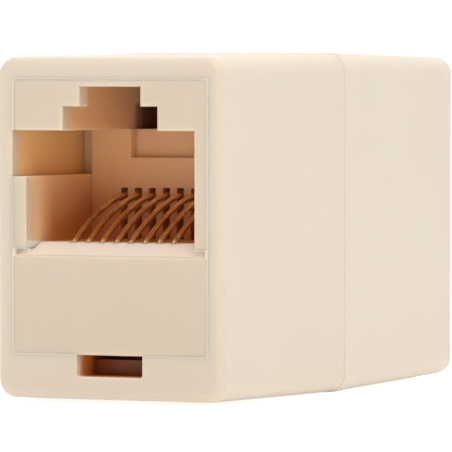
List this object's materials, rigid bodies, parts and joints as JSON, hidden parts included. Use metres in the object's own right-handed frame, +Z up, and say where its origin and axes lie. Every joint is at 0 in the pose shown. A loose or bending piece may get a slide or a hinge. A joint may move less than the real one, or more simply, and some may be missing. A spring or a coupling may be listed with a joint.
{
  "type": "modular plug inline coupler",
  "caption": "Ivory moulded inline coupler that joins two eight-way modular network plugs end to end through straight spring contacts.",
  "frame": {"origin": "under the middle of the belt, at the bottom centre of the whole coupler", "axes": "+Y from the front socket to the rear socket, +X to the right seen from the front, +Z up towards the latch slots"},
  "size_m": [0.0168, 0.0378, 0.0225],
  "materials": {
    "sleeve_abs": "moulded ivory ABS, satin",
    "insert_abs": "moulded ivory ABS, satin",
    "gilt_bronze": "gold-plated phosphor bronze wire"
  },
  "bodies": {
    "root": {"outer_sleeve": "sleeve_abs", "front_jack_frame": "insert_abs", "rear_jack_frame": "insert_abs", "front_contact_carrier": "insert_abs", "rear_contact_carrier": "insert_abs", "contact_wire_1": "gilt_bronze", "contact_wire_2": "gilt_bronze", "contact_wire_3": "gilt_bronze", "contact_wire_4": "gilt_bronze", "contact_wire_5": "gilt_bronze", "contact_wire_6": "gilt_bronze", "contact_wire_7": "gilt_bronze", "contact_wire_8": "gilt_bronze"}
  },
  "joints": []
}
